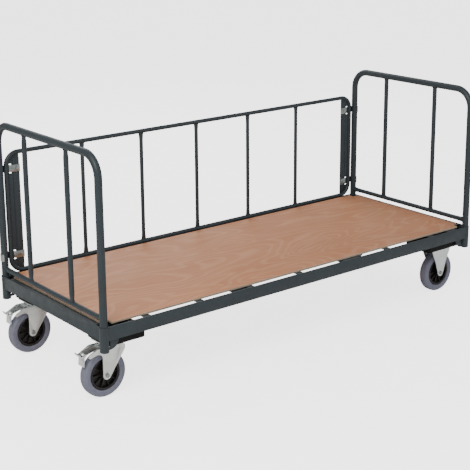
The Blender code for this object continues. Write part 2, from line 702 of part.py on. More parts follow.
def ribbon(line, thickness, low, high):
    """A plate whose side view follows a line of (x, z) points, between two Y limits."""
    half = thickness / 2
    upper, lower = [], []
    for i, (x, z) in enumerate(line):
        px, pz = line[max(i - 1, 0)]
        nx, nz = line[min(i + 1, len(line) - 1)]
        length = sqrt((nx - px) ** 2 + (nz - pz) ** 2)
        dx, dz = (nx - px) / length, (nz - pz) / length
        upper.append((x - dz * half, z + dx * half))
        lower.append((x + dz * half, z - dx * half))
    return prism(upper + list(reversed(lower)), low, high, "Y")


def brake_pedal():
    """Brake pedal about its pivot: a sloping plate with a slot, an upturned toe and a shoe for the tread."""
    plate = ribbon(PEDAL_TREAD, PEDAL_WALL, -PEDAL_HALF, PEDAL_HALF)
    shoe = ribbon(PEDAL_SHOE, PEDAL_WALL, -PEDAL_HALF, PEDAL_HALF)
    pin_end = FORK_INNER + FORK_WALL + 0.002
    boss = cylinder(BOSS_RADIUS, -BOSS_HALF, BOSS_HALF, 16, "Y")
    pin = cylinder(PIVOT_RADIUS, -pin_end, pin_end, 16, "Y")
    web = box((-0.006, 0.006), (-0.012, 0.012), (0.000, 0.0145))
    limits, half = PEDAL_SLOT
    slot = box(limits, (-half, half), (-0.020, 0.010))
    return cut(union(plate, shoe, boss, web, pin), slot)


def make_wheel(parent, label, x):
    """Rim, tyre and axle on an empty at the wheel's centre."""
    hub = empty("wheel_axis_" + label, (x, 0, WHEEL_RADIUS), parent)
    node("wheel_rim_" + label, wheel_rim(), "rim_plastic", hub)
    node("tyre_" + label, tyre(), "grey_rubber", hub)
    node("axle_" + label, axle(), "zinc", hub)


def make_castors(parent):
    for side, face in CORNERS:
        label = "%s_%s" % (SIDE_NAME[side], FACE_NAME[face])
        station = empty("castor_" + label, (side * CASTOR_X, face * CASTOR_Y, 0), parent)
        node("castor_pad_" + label, castor_pad(side), "pad_paint", station)
        if side < 0:
            node("castor_plate_" + label, swivel_plate(), "zinc", station)
            node("castor_fork_" + label, swivel_fork(), "zinc", station)
            node("kingpin_" + label, kingpin(), "zinc", station)
            pivot = (PEDAL_PIVOT[0], 0, PEDAL_PIVOT[1])
            node("brake_pedal_" + label, brake_pedal(), "zinc", station, pivot)
            make_wheel(station, label, -TRAIL)
        else:
            node("castor_fork_" + label, fixed_fork(), "zinc", station)
            make_wheel(station, label, 0)


clear_scene()
trolley = empty("trolley", (ORIGIN_SHIFT, 0, 0))
make_chassis(trolley)
make_end_panel(trolley, -1)
make_end_panel(trolley, 1)
make_back_panel(trolley)
make_castors(trolley)
bpy.context.view_layer.update()
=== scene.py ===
# %% [markdown]
# # A platform trolley, dressed for its picture
# The real object is a long warehouse trolley: a plywood deck in a steel angle frame, a bent-tube panel at
# each end, a lower one along the back, two braked swivel castors and two fixed ones. The CAD model already
# holds every size and every joint. This lesson gives each piece its fine surface and its finish, and leaves
# all places as they are.

import bpy
import numpy as np
from mathutils import Matrix, Vector


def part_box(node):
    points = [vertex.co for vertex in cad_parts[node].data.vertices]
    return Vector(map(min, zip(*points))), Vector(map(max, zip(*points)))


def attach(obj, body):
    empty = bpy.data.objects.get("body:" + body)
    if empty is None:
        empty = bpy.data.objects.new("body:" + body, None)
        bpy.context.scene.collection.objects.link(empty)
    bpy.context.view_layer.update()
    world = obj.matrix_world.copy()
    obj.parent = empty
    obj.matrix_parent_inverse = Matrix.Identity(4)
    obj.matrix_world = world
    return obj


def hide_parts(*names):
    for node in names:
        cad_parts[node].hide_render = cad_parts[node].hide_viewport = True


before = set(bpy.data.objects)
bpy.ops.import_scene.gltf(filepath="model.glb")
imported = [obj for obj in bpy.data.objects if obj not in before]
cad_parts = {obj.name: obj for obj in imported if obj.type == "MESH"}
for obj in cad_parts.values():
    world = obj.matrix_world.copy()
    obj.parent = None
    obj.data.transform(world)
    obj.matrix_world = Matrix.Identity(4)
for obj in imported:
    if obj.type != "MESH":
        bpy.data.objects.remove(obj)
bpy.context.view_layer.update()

# %% [markdown]
# ## The camera
# A long lens about 5.6 m away keeps the deck's long edges gently converging. The trolley is seen from its
# open front, with the swivel castors nearest. A rotation matrix is built from three angles, because that is
# how a photographer would say it: turn, tilt and roll.

# %% Camera
CAMERA_PLACE = (-3.364, -4.1413, 2.0648)
CAMERA_TURN = 38.57          # degrees from +Y towards +X
CAMERA_TILT = -14.86
CAMERA_ROLL = -0.41
CAMERA_LENS = 90.3           # mm on a 36 mm sensor
CAMERA_SHIFT_Y = -0.10


def camera_axes(turn, tilt, roll):
    """Right, up and back vectors: spherical angles give the view, and roll turns the other two about it."""
    turn, tilt, roll = np.radians((turn, tilt, roll))
    view = np.array([np.sin(turn) * np.cos(tilt), np.cos(turn) * np.cos(tilt), np.sin(tilt)])
    level = np.array([np.cos(turn), -np.sin(turn), 0.0])
    upright = np.cross(level, view)
    right = level * np.cos(roll) + upright * np.sin(roll)
    up = -level * np.sin(roll) + upright * np.cos(roll)
    return right, up, -view


axes = camera_axes(CAMERA_TURN, CAMERA_TILT, CAMERA_ROLL)
camera_data = bpy.data.cameras.new("studio_camera")
camera_data.lens = CAMERA_LENS
camera_data.shift_y = CAMERA_SHIFT_Y
camera = bpy.data.objects.new("studio_camera", camera_data)
bpy.context.scene.collection.objects.link(camera)
camera.matrix_world = Matrix.Translation(CAMERA_PLACE) @ Matrix(np.array(axes).T.tolist()).to_4x4()
bpy.context.scene.camera = camera

# %% [markdown]
# ## Colours and nodes
# A paint chart gives colours as sRGB hex codes, but a shader works in linear light, so one function does
# the change. One more function adds a shader node: its settings are attributes, and its inputs are either
# plain values or another node's output, which is then linked.

# %% Colour and node helpers
def colour(code):
    """Linear RGBA from an sRGB hex code: the low end is a straight line, and the rest is a 2.4 power."""
    srgb = np.array([int(code[i:i + 2], 16) for i in (1, 3, 5)]) / 255.0
    linear = np.where(srgb <= 0.04045, srgb / 12.92, ((srgb + 0.055) / 1.055) ** 2.4)
    return (*linear.tolist(), 1.0)


def add(tree, kind, inputs=None, **settings):
    """A new node with its settings, and its inputs given as values or as sockets to link from."""
    made = tree.nodes.new(kind)
    for name, value in settings.items():
        setattr(made, name, value)
    for name, value in (inputs or {}).items():
        if isinstance(value, bpy.types.NodeSocket):
            tree.links.new(value, made.inputs[name])
        else:
            made.inputs[name].default_value = value
    return made


print("the sRGB grey #808080 is", round(colour("#808080")[0], 3), "in linear light")

# %% [markdown]
# ## What all finishes share
# Every finish here is a plain shader with three patterns linked to it: one for the colour, one for the gloss
# and one for the bumps. A noise texture's value is nearly always between 0.3 and 0.7, so that is the span a
# gloss pattern is stretched from. A pattern's scale is worked out from its real size in millimetres.

# %% Starting and linking a finish
MM = 0.001
NOISE_SPAN = {"From Min": 0.3, "From Max": 0.7}


def per_metre(size_mm):
    """Noise scale whose features are about the given size: one noise cell is one unit of scale."""
    return 1.0 / (size_mm * MM)


def start_material(name, roughness, metallic=0.0, ior=1.5):
    """A Principled material with its own plain values, and its shader to link patterns into."""
    made = bpy.data.materials.new(name)
    made.use_nodes = True
    shader = made.node_tree.nodes["Principled BSDF"]
    shader.inputs["Roughness"].default_value = roughness
    shader.inputs["Metallic"].default_value = metallic
    shader.inputs["IOR"].default_value = ior
    return made, made.node_tree, shader


def wear(tree, shader, tint, gloss, bump):
    """Link the three patterns of a finish to its shader."""
    tree.links.new(tint.outputs["Result"], shader.inputs["Base Color"])
    tree.links.new(gloss.outputs["Result"], shader.inputs["Roughness"])
    tree.links.new(bump.outputs["Normal"], shader.inputs["Normal"])


print("a pattern of 1.5 mm has scale", round(per_metre(1.5), 1))

# %% [markdown]
# ## Powder coat
# The frame is steel under anthracite powder coat. The powder is sprayed dry and melts in an oven, which
# leaves a satin skin with a faint orange peel, about 1.5 mm from hump to hump. Three noises do this: a wide
# one drifts the shade where the coat is thicker, a middle one varies the gloss, and a fine one makes the
# bumps. The same recipe with other codes makes the black paint of the castor pads.

# %% Powder-coat material
def powder_coat(name, light, dark, gloss_low, gloss_high, ior):
    """Powder paint with a drifting shade, a hazy gloss and orange peel."""
    made, tree, shader = start_material(name, gloss_low, ior=ior)
    place = add(tree, "ShaderNodeTexCoord").outputs["Object"]
    drift = add(tree, "ShaderNodeTexNoise", {"Vector": place, "Scale": per_metre(160), "Detail": 3.0})
    shade = add(tree, "ShaderNodeMix", {"Factor": drift.outputs["Fac"], "A": colour(dark),
                                        "B": colour(light)}, data_type="RGBA")
    haze = add(tree, "ShaderNodeTexNoise", {"Vector": place, "Scale": per_metre(35), "Detail": 4.0})
    gloss = add(tree, "ShaderNodeMapRange", {"Value": haze.outputs["Fac"], **NOISE_SPAN,
                                             "To Min": gloss_low, "To Max": gloss_high})
    peel = add(tree, "ShaderNodeTexNoise", {"Vector": place, "Scale": per_metre(1.5), "Detail": 1.0})
    bump = add(tree, "ShaderNodeBump", {"Height": peel.outputs["Fac"], "Strength": 0.16,
                                        "Distance": 0.3 * MM})
    wear(tree, shader, shade, gloss, bump)
    return made


frame_paint = powder_coat("anthracite_powder_coat", "#333d43", "#283136", 0.40, 0.54, 1.42)
pad_paint = powder_coat("black_satin_paint", "#0a0a0b", "#050505", 0.55, 0.68, 1.30)
print("paints:", frame_paint.name, "and", pad_paint.name)

# %% [markdown]
# ## Bright zinc plate
# Castor forks, bolts and clamps are pressed steel with a bright zinc plate. It is a thin blue-white metal
# film that follows every mark of the rolled sheet below, so it has a soft lustre with fine rolling lines and
# cloudy patches. Metallic is 1, the colour is the tint of the reflection, and the clouds vary the roughness.
# Bolts and clamps are barrel plated, which leaves them duller than the forks.

# %% Zinc material
def zinc_plate(name, light, dark):
    """Zinc film on rolled steel: cloudy tint and gloss, and lines drawn out along Z by the rolling."""
    made, tree, shader = start_material(name, 0.34, metallic=1.0)
    place = add(tree, "ShaderNodeTexCoord").outputs["Object"]
    cloud = add(tree, "ShaderNodeTexNoise", {"Vector": place, "Scale": per_metre(22), "Detail": 5.0})
    tint = add(tree, "ShaderNodeMix", {"Factor": cloud.outputs["Fac"], "A": colour(dark),
                                       "B": colour(light)}, data_type="RGBA")
    gloss = add(tree, "ShaderNodeMapRange", {"Value": cloud.outputs["Fac"], **NOISE_SPAN,
                                             "To Min": 0.46, "To Max": 0.32})
    stretch = add(tree, "ShaderNodeMapping", {"Vector": place, "Scale": (1.0, 1.0, 0.06)})
    rolling = add(tree, "ShaderNodeTexNoise", {"Vector": stretch.outputs["Vector"], "Scale": per_metre(0.8),
                                               "Detail": 2.0})
    bump = add(tree, "ShaderNodeBump", {"Height": rolling.outputs["Fac"], "Strength": 0.10,
                                        "Distance": 0.1 * MM})
    wear(tree, shader, tint, gloss, bump)
    return made


zinc = zinc_plate("bright_zinc_plate", "#f6faf9", "#d8dfdf")
bolt_zinc = zinc_plate("dull_zinc_plate", "#b4bbbb", "#8f9798")
print("plated steel:", zinc.name, "and", bolt_zinc.name)

# %% [markdown]
# ## Rubber and moulded plastic
# The tyres are solid grey rubber that leaves no marks, cured in a mould: matte, slightly violet, with a faint
# mottle where dust sits in the skin. The wheel centres are black polypropylene, moulded with a fine spark
# texture, which turns a hard highlight into a soft one.

# %% Rubber and plastic materials
def moulded(name, light, dark, roughness, ior, mottle_mm, grain_mm, depth_mm):
    """A moulded skin: a wide mottle shifts shade and gloss, and a fine grain of the given depth bumps it."""
    made, tree, shader = start_material(name, roughness, ior=ior)
    place = add(tree, "ShaderNodeTexCoord").outputs["Object"]
    mottle = add(tree, "ShaderNodeTexNoise", {"Vector": place, "Scale": per_metre(mottle_mm), "Detail": 4.0})
    shade = add(tree, "ShaderNodeMix", {"Factor": mottle.outputs["Fac"], "A": colour(dark),
                                        "B": colour(light)}, data_type="RGBA")
    gloss = add(tree, "ShaderNodeMapRange", {"Value": mottle.outputs["Fac"], **NOISE_SPAN,
                                             "To Min": roughness - 0.05, "To Max": roughness + 0.08})
    grain = add(tree, "ShaderNodeTexNoise", {"Vector": place, "Scale": per_metre(grain_mm), "Detail": 2.0})
    bump = add(tree, "ShaderNodeBump", {"Height": grain.outputs["Fac"], "Strength": 0.25,
                                        "Distance": depth_mm * MM})
    wear(tree, shader, shade, gloss, bump)
    return made


rubber = moulded("grey_moulded_rubber", "#7d7f90", "#686a7c", 0.62, 1.52, 14, 0.9, 0.2)
plastic = moulded("black_polypropylene", "#161213", "#0d0a0b", 0.42, 1.49, 25, 0.7, 0.1)
print("wheels:", rubber.name, "on", plastic.name)

# %% [markdown]
# ## Plywood
# The deck is 9 mm plywood: nine sheets of veneer, each about 1 mm, glued with their grain crossed. The face
# is peeled from a turning log, so one year ring is cut over and over and leaves wide flames, called
# cathedrals. Here the height of a smooth hill field is sliced into rings by a sine, and the slices are
# stretched along X, as the log was. A patchy base lies below them, and short dark pores lie along the grain.
# On the edge the layers show: that pattern depends only on height, and every other sheet is end grain and
# darker.

# %% Plywood patterns
board_low, board_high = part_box("deck_board")
PLY_COUNT = 9
RING_TURN = 120.0            # radians of ring pattern over the hill field's whole span: about 19 rings
FLAME_AMOUNT = 0.34          # how far a flame changes the base colour
FLAT_ENOUGH = 0.7            # cosine of the tilt up to which a surface counts as the face


def log_rings(tree, place):
    """0 to 1 across each year ring: a sine of the hill field's height, its lower half cut off."""
    along = add(tree, "ShaderNodeMapping", {"Vector": place, "Scale": (0.34, 1.0, 0.0),
                                            "Location": (0.35, 0.12, 0.0)})
    hills = add(tree, "ShaderNodeTexNoise", {"Vector": along.outputs["Vector"], "Scale": per_metre(300),
                                             "Detail": 2.5, "Roughness": 0.40, "Distortion": 0.5})
    ring = add(tree, "ShaderNodeMath", {0: hills.outputs["Fac"], 1: RING_TURN}, operation="MULTIPLY")
    wave = add(tree, "ShaderNodeMath", {0: ring.outputs[0]}, operation="SINE")
    return add(tree, "ShaderNodeMapRange", {"Value": wave.outputs[0], "From Min": 0.1, "From Max": 1.0,
                                            "To Min": 0.0, "To Max": 1.0})


def sanded_face(tree, place, fibre):
    """Face veneer: a patchy base, lighter flames over it, and darker pores where the fibre noise is high."""
    patch_place = add(tree, "ShaderNodeMapping", {"Vector": place, "Scale": (0.35, 1.0, 0.0)})
    patch = add(tree, "ShaderNodeTexNoise", {"Vector": patch_place.outputs["Vector"],
                                             "Scale": per_metre(190), "Detail": 2.0})
    base = add(tree, "ShaderNodeMix", {"Factor": patch.outputs["Fac"], "A": colour("#bb764b"),
                                       "B": colour("#cc906a")}, data_type="RGBA")
    flame = add(tree, "ShaderNodeMath", {0: log_rings(tree, place).outputs["Result"], 1: FLAME_AMOUNT},
                operation="MULTIPLY")
    grained = add(tree, "ShaderNodeMix", {"Factor": flame.outputs[0], "A": base.outputs["Result"],
                                          "B": colour("#dba882")}, data_type="RGBA")
    pores = add(tree, "ShaderNodeMapRange", {"Value": fibre.outputs["Fac"], "From Min": 0.50,
                                             "From Max": 0.75, "To Min": 0.0, "To Max": 0.45})
    return add(tree, "ShaderNodeMix", {"Factor": pores.outputs["Result"], "A": grained.outputs["Result"],
                                       "B": colour("#96603f")}, data_type="RGBA")


def cut_edge(tree, place):
    """Cut edge: a sine with one half wave per veneer, sharpened, picks the lighter or the darker sheet."""
    height = add(tree, "ShaderNodeSeparateXYZ", {"Vector": place})
    level = add(tree, "ShaderNodeMapRange", {"Value": height.outputs["Z"], "From Min": board_low.z,
                                             "From Max": board_high.z, "To Min": 0.0,
                                             "To Max": PLY_COUNT * np.pi})
    layer = add(tree, "ShaderNodeMath", {0: level.outputs["Result"]}, operation="SINE")
    crossed = add(tree, "ShaderNodeMapRange", {"Value": layer.outputs[0], "From Min": -0.3, "From Max": 0.3,
                                               "To Min": 0.0, "To Max": 1.0})
    return add(tree, "ShaderNodeMix", {"Factor": crossed.outputs["Result"], "A": colour("#a8947f"),
                                       "B": colour("#d3c3ad")}, data_type="RGBA")


print("veneers of", round((board_high.z - board_low.z) / PLY_COUNT / MM, 2), "mm")

# %% [markdown]
# The face and the edge are one material, so that the layers end exactly where the surface turns. A face
# points up or down, which its normal tells.

# %% Plywood material
def plywood():
    """Sanded plywood: the face pattern where the normal is near vertical, and the layers elsewhere."""
    made, tree, shader = start_material("sanded_plywood", 0.52, ior=1.48)
    place = add(tree, "ShaderNodeTexCoord").outputs["Object"]
    fibre_place = add(tree, "ShaderNodeMapping", {"Vector": place, "Scale": (0.02, 1.0, 0.0)})
    fibre = add(tree, "ShaderNodeTexNoise", {"Vector": fibre_place.outputs["Vector"],
                                             "Scale": per_metre(3.0), "Detail": 5.0, "Roughness": 0.65})
    normal = add(tree, "ShaderNodeNewGeometry").outputs["Normal"]
    facing = add(tree, "ShaderNodeSeparateXYZ", {"Vector": normal})
    flat = add(tree, "ShaderNodeMath", {0: facing.outputs["Z"]}, operation="ABSOLUTE")
    is_face = add(tree, "ShaderNodeMath", {0: flat.outputs[0], 1: FLAT_ENOUGH}, operation="GREATER_THAN")
    edge, face = cut_edge(tree, place), sanded_face(tree, place, fibre)
    wood = add(tree, "ShaderNodeMix", {"Factor": is_face.outputs[0], "A": edge.outputs["Result"],
                                       "B": face.outputs["Result"]}, data_type="RGBA")
    gloss = add(tree, "ShaderNodeMapRange", {"Value": fibre.outputs["Fac"], **NOISE_SPAN,
                                             "To Min": 0.42, "To Max": 0.62})
    bump = add(tree, "ShaderNodeBump", {"Height": fibre.outputs["Fac"], "Strength": 0.22,
                                        "Distance": 0.3 * MM})
    wear(tree, shader, wood, gloss, bump)
    return made


birch = plywood()
print("deck:", birch.name, "with", PLY_COUNT, "veneers")

# %% [markdown]
# ## From a grid of points to a mesh
# Nearly every part of the trolley is a tube, a turned part or a pressed plate. A tube and a turned part are
# both a grid: each row is a ring of points, and the rows follow a path or go round an axis. The faces are
# found with whole arrays, by joining each point to its right and upper neighbours.

# %% Mesh helpers
SHARP_ANGLE = 35             # degrees; a sharper edge is shaded as an edge


def mesh_object(name, points, faces):
    """A linked object from point and face arrays, smooth except at its sharp edges."""
    mesh = bpy.data.meshes.new(name)
    mesh.from_pydata(np.asarray(points).tolist(), [], faces)
    mesh.update()
    mesh.shade_smooth()
    mesh.set_sharp_from_angle(angle=np.radians(SHARP_ANGLE))
    made = bpy.data.objects.new(name, mesh)
    bpy.context.scene.collection.objects.link(made)
    return made


def grid_faces(rows, columns, wrap_rows):
    """Quads of a grid whose rows are closed rings; the rows join up too when wrap_rows is set."""
    r, c = np.meshgrid(np.arange(rows if wrap_rows else rows - 1), np.arange(columns), indexing="ij")
    up, right = (r + 1) % rows, (c + 1) % columns
    quads = np.stack([r * columns + c, r * columns + right, up * columns + right, up * columns + c], -1)
    return quads.reshape(-1, 4).tolist()


def shell(grid, wrap_rows=False):
    """Points and faces of rings of points, shape (rows, columns, 3), with flat ends unless they wrap."""
    rows, columns = grid.shape[:2]
    faces = grid_faces(rows, columns, wrap_rows)
    if not wrap_rows:
        faces.append(list(range(columns))[::-1])
        faces.append(list(range((rows - 1) * columns, rows * columns)))
    return grid.reshape(-1, 3), faces


def gather(shells):
    """Several (points, faces) pairs as one pair."""
    points, faces, first = [], [], 0
    for part_points, part_faces in shells:
        points.append(part_points)
        faces += [[i + first for i in face] for face in part_faces]
        first += len(part_points)
    return np.concatenate(points), faces


print("an open grid of 3 rings of 8 points has", len(grid_faces(3, 8, False)), "side faces")

# %% [markdown]
# Each piece also has to say two things before it is finished: which moving body it rides on, and which CAD
# nodes it stands for. Each call also names a material slot of the design, which is not used here.

# %% Finishing a piece
def finish(name, shells, material, body, slot, *nodes):
    """One finished piece: made of shells, painted, riding on its body and standing for CAD nodes."""
    made = mesh_object(name, *gather(shells))
    made.data.materials.append(material)
    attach(made, body)
    if nodes:
        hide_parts(*nodes)
    print(name, "has", len(made.data.polygons), "faces")


# %% [markdown]
# ## Bent tube
# A tube bender draws straight pipe round a former, so the centre line is straight runs and true arcs. The
# path is a list of corners, each rounded by the former's radius. At every point of the path a ring is laid
# across the direction of travel: one ring axis is the normal of the bend's plane, and the other is the cross
# product of travel and that normal.

# %% Tube functions
BEND_STEPS = 14              # points along each bend
TUBE_SIDES = 32


def circle(count):
    """Angles of evenly spaced points round a full turn."""
    return np.linspace(0, 2 * np.pi, count, endpoint=False)


def rounded_path(corners, radius, closed=False):
    """Corners joined by straight runs, with an arc of the given radius in each: the arc touches both runs
    at radius / tan(half the corner's angle) from the corner."""
    corners = [np.array(corner, float) for corner in corners]
    path = []
    for i, corner in enumerate(corners):
        if not closed and i in (0, len(corners) - 1):
            path.append(corner[None])
            continue
        before = corners[i - 1] - corner
        after = corners[(i + 1) % len(corners)] - corner
        before, after = before / np.linalg.norm(before), after / np.linalg.norm(after)
        half = np.arccos(np.clip(before @ after, -1, 1)) / 2
        middle = before + after
        centre = corner + middle / np.linalg.norm(middle) * radius / np.sin(half)
        first = corner + before * radius / np.tan(half) - centre
        last = corner + after * radius / np.tan(half) - centre
        turn = np.pi - 2 * half
        t = np.linspace(0, 1, BEND_STEPS)[:, None]
        path.append(centre + (np.sin((1 - t) * turn) * first + np.sin(t * turn) * last) / np.sin(turn))
    return np.concatenate(path)


def travel(path, closed):
    """Unit directions along a path: the mean of the way in and the way out at each point."""
    ahead = np.roll(path, -1, 0) - path
    behind = path - np.roll(path, 1, 0)
    if not closed:
        ahead[-1], behind[0] = behind[-1], ahead[0]
    ahead /= np.linalg.norm(ahead, axis=1)[:, None]
    behind /= np.linalg.norm(behind, axis=1)[:, None]
    way = ahead + behind
    return way / np.linalg.norm(way, axis=1)[:, None]


def tube(path, radius, normal, closed=False):
    """Rings cos(a) * normal + sin(a) * across, times the radius, at every point of a flat path."""
    way = travel(path, closed)
    across = np.cross(way, normal)
    a = circle(TUBE_SIDES)
    ring = (np.cos(a)[None, :, None] * np.array(normal)[None, None, :]
            + np.sin(a)[None, :, None] * across[:, None, :])
    return shell(path[:, None, :] + radius * ring, closed)


print("a bend has", BEND_STEPS, "rings of", TUBE_SIDES, "points")

# %% [markdown]
# ## Pressed rods and weld beads
# The upright rods are squeezed flat at both ends before welding, which lets them sit snug on the round tube.
# The bead that a welder lays round such an end is a small circle carried round the rod's outline, and it
# swells and shrinks with each step of the torch.

# %% Rod and weld functions
PRESSED = 0.036              # length of a pressed end
PRESS_RINGS = 9              # rings along each pressed end
WELD_SIZE = 0.0022           # radius of the bead on the end panels
WELD_RIPPLES = 22            # torch steps round one rod
RIPPLE_DEPTH = 0.14          # part of the bead's radius
RIPPLE_POINTS = 4            # rings for each ripple
BEAD_SIDES = 10


def pressed_rod(start, end, radius, wide, press):
    """A straight rod with both ends pressed flat. The amount of pressing p falls from 1 to 0 over the
    pressed length as a smooth step. With press = (squeeze, spread), the ring is an ellipse of half axes
    radius * (1 + (spread - 1) p) along `wide` and radius * (1 + (squeeze - 1) p) across it."""
    squeeze, spread = press
    start, end, wide = (np.array(v, float) for v in (start, end, wide))
    length = np.linalg.norm(end - start)
    along = (end - start) / length
    s = np.concatenate([np.linspace(0, PRESSED, PRESS_RINGS), length - np.linspace(PRESSED, 0, PRESS_RINGS)])
    x = np.clip(1 - np.minimum(s, length - s) / PRESSED, 0, 1)
    p = x * x * (3 - 2 * x)
    a = circle(TUBE_SIDES)
    grid = (start + along * s[:, None])[:, None, :]
    grid = grid + (radius * (1 + (spread - 1) * p))[:, None, None] * np.cos(a)[None, :, None] * wide
    thin = np.cross(along, wide)
    return shell(grid + (radius * (1 + (squeeze - 1) * p))[:, None, None] * np.sin(a)[None, :, None] * thin)


def weld_ring(centre, across, wide, half_wide, half_thin, size=WELD_SIZE):
    """A bead round a pressed end: a small circle carried round an ellipse, its radius rippled as
    size * (1 + depth * cos(ripples * a)). `across` points along the rod."""
    centre, across, wide = (np.array(v, float) for v in (centre, across, wide))
    thin = np.cross(across, wide)
    a = circle(WELD_RIPPLES * RIPPLE_POINTS)
    out = np.cos(a)[:, None] * wide * half_wide + np.sin(a)[:, None] * thin * half_thin
    away = np.cos(a)[:, None] * wide / half_wide + np.sin(a)[:, None] * thin / half_thin
    away /= np.linalg.norm(away, axis=1)[:, None]
    bead = size * (1 + RIPPLE_DEPTH * np.cos(WELD_RIPPLES * a))
    b = circle(BEAD_SIDES)
    ring = np.cos(b)[None, :, None] * away[:, None, :] + np.sin(b)[None, :, None] * across
    grid = (centre + out)[:, None, :] + bead[:, None, None] * ring
    return shell(grid, True)


print("a weld bead has", WELD_RIPPLES, "ripples")

# %% [markdown]
# ## End panels
# Each end panel is one bent tube whose two legs drop into the corner sleeves. A lower bar and two upright
# rods are cut to length, pressed flat at their ends, and welded. The places come from the CAD boxes, and only
# the tube sizes are repeated here.

# %% End panels
POST_RADIUS = 0.016
END_BEND = 0.090
END_ROD_RADIUS = 0.011
END_PRESS = (0.65, 1.22)     # thinner and wider by these factors


def end_panel(side):
    """One tube through four corners, a bar, two uprights, and a weld ring at each of their ends."""
    low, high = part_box(side + "_panel_frame")
    x, reach, top = (low.x + high.x) / 2, high.y - POST_RADIUS, high.z - POST_RADIUS
    corners = [(x, -reach, low.z), (x, -reach, top), (x, reach, top), (x, reach, low.z)]
    finish(side + "_panel_tube", [tube(rounded_path(corners, END_BEND), POST_RADIUS, (1, 0, 0))],
           frame_paint, "superstructure", "frame_paint", side + "_panel_frame")
    low_bar, high_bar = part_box(side + "_panel_lower_bar")
    bar_z = (low_bar.z + high_bar.z) / 2
    finish(side + "_panel_bar", [pressed_rod((x, low_bar.y, bar_z), (x, high_bar.y, bar_z), END_ROD_RADIUS,
                                             (0, 0, 1), END_PRESS)],
           frame_paint, "superstructure", "frame_paint", side + "_panel_lower_bar")
    thin, wide = END_ROD_RADIUS * END_PRESS[0], END_ROD_RADIUS * END_PRESS[1]
    welds = [weld_ring((x, y, bar_z), (0, 1, 0), (0, 0, 1), wide, thin) for y in (low_bar.y, high_bar.y)]
    for face in ("front", "rear"):
        rod_low, rod_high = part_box("%s_panel_rod_%s" % (side, face))
        y = (rod_low.y + rod_high.y) / 2
        finish("%s_panel_upright_%s" % (side, face),
               [pressed_rod((x, y, rod_low.z), (x, y, rod_high.z), END_ROD_RADIUS, (0, 1, 0), END_PRESS)],
               frame_paint, "superstructure", "frame_paint", "%s_panel_rod_%s" % (side, face))
        welds += [weld_ring((x, y, z), (0, 0, 1), (0, 1, 0), wide, thin) for z in (rod_low.z, rod_high.z)]
    finish(side + "_panel_welds", welds, frame_paint, "superstructure", "frame_paint")


for side in ("left", "right"):
    end_panel(side)

# %% [markdown]
# ## Back panel
# The back panel is a closed loop of thinner tube with five rods. A closed loop needs its bends only: the
# straight runs are drawn by joining one arc's end to the next arc's start.

# %% Back panel
BACK_RADIUS = 0.010
BACK_BEND = 0.060
BACK_ROD_RADIUS = 0.009
BACK_PRESS = (0.50, 1.45)
BACK_RODS = 5
BACK_WELD_SIZE = 0.0018
back_low, back_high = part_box("back_panel_frame")
back_y = (back_low.y + back_high.y) / 2
left_x, right_x = back_low.x + BACK_RADIUS, back_high.x - BACK_RADIUS
base_z, top_z = back_low.z + BACK_RADIUS, back_high.z - BACK_RADIUS
loop = [(left_x, back_y, base_z), (left_x, back_y, top_z),
        (right_x, back_y, top_z), (right_x, back_y, base_z)]
finish("back_panel_tube", [tube(rounded_path(loop, BACK_BEND, closed=True), BACK_RADIUS, (0, 1, 0), True)],
       frame_paint, "superstructure", "frame_paint", "back_panel_frame")
back_welds = []
for number in range(1, BACK_RODS + 1):
    low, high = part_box("back_panel_rod_%d" % number)
    x = (low.x + high.x) / 2
    finish("back_panel_upright_%d" % number,
           [pressed_rod((x, back_y, low.z), (x, back_y, high.z), BACK_ROD_RADIUS, (1, 0, 0), BACK_PRESS)],
           frame_paint, "superstructure", "frame_paint", "back_panel_rod_%d" % number)
    back_welds += [weld_ring((x, back_y, z), (0, 0, 1), (1, 0, 0), BACK_ROD_RADIUS * BACK_PRESS[1],
                             BACK_ROD_RADIUS * BACK_PRESS[0], size=BACK_WELD_SIZE) for z in (low.z, high.z)]
finish("back_panel_welds", back_welds, frame_paint, "superstructure", "frame_paint")

# %% [markdown]
# ## Turned parts
# Corner sleeves, bearing covers, tyres and wheel centres are all turned: one profile of (radius, height)
# points goes round an axis. The profile is closed, so the first ring joins the last and nothing is left
# open.

# %% Turning functions
FINE_TURN, COARSE_TURN = 96, 72          # points round a turned part


def turned(profile, centre, axis, segments):
    """A closed profile turned about an axis: x = r cos(a), y = r sin(a), and the height along the axis."""
    profile = np.array(profile, float)
    a = circle(segments)
    r, h = profile[:, 0][:, None], profile[:, 1][:, None] * np.ones_like(a)[None, :]
    if axis == "Z":
        grid = np.stack([r * np.cos(a), r * np.sin(a), h], -1)
    else:
        grid = np.stack([r * np.cos(a), h, -r * np.sin(a)], -1)
    return shell(grid[::-1] + np.array(centre, float), True)


def arc_points(centre, radius, start, end, steps):
    """(radius, height) points on an arc, angles in degrees."""
    a = np.radians(np.linspace(start, end, steps))
    return np.stack([centre[0] + radius * np.cos(a), centre[1] + radius * np.sin(a)], -1).tolist()


print("a coarse turned part has a face every", 360 / COARSE_TURN, "degrees")

# %% [markdown]
# ## Corner sleeves
# A sleeve is a deep cup that the foot of a post drops into. Its rim is rolled over, so that the post finds
# its way in and the edge cannot cut a hand. A hole one millimetre wide stands for the axis itself, because a
# ring of radius zero would shrink its faces to lines.

# %% Corner sleeves
SLEEVE_RADIUS, SLEEVE_LIP, SLEEVE_BORE = 0.0187, 0.0198, 0.0165
SLEEVE_FLOOR = 0.004
FOOT_ROUNDING = 0.002
LIP_FOOT = 0.0055            # from the top down to where the wall starts to turn out
AXIS_HOLE = 0.0005
CORNERS = ["%s_%s" % (side, face) for side in ("left", "right") for face in ("front", "rear")]


